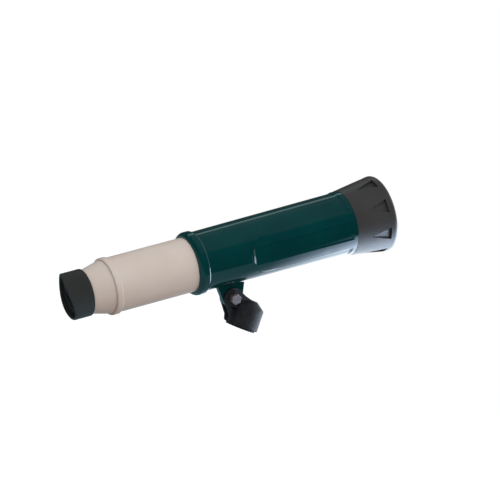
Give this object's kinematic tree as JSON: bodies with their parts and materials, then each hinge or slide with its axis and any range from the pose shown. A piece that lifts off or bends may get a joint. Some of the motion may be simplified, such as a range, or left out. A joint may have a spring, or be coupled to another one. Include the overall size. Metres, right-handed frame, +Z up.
{
  "type": "playground telescope",
  "caption": "Playset telescope: moulded barrel with fixed draw tube, slanted eyecup and notched hood, on a round foot that turns on its base and tilts on a bolt.",
  "frame": {"origin": "centre of the mount's underside, where its axis of turning meets the surface it is screwed to", "axes": "+Z up from the mounting surface along the turning axis, +X the way the telescope looks, tilt pin along Y"},
  "size_m": [0.3219, 0.0744, 0.2274],
  "materials": {
    "barrel": "gloss",
    "tube": "satin",
    "grip": "satin",
    "mount": "satin",
    "fastener": "zinc plated",
    "bush": "natural nylon",
    "lens": "clear moulded plastic"
  },
  "bodies": {
    "mount": {"swivel_base": "mount", "pan_screw": "fastener", "pan_washer": "fastener"},
    "yoke": {"yoke": "mount", "pivot_bush": "bush", "tilt_bolt": "fastener", "tilt_washer": "fastener", "tilt_nut": "fastener"},
    "telescope": {"barrel": "barrel", "draw_tube": "tube", "eyepiece": "tube", "eyecup": "grip", "eye_lens": "lens", "eye_lens_ring": "grip", "hood": "grip", "objective_lens": "lens", "objective_ring": "grip"}
  },
  "joints": [
    {"name": "pan", "type": "hinge", "parent": "mount", "child": "yoke", "pos_m": [0, 0, 0], "axis": [0, 0, 1], "continuous": true},
    {"name": "tilt", "type": "hinge", "parent": "yoke", "child": "telescope", "pos_m": [-0.0211, 0, 0.0249], "axis": [0, -1, 0], "range_deg": [-42, 28]}
  ]
}
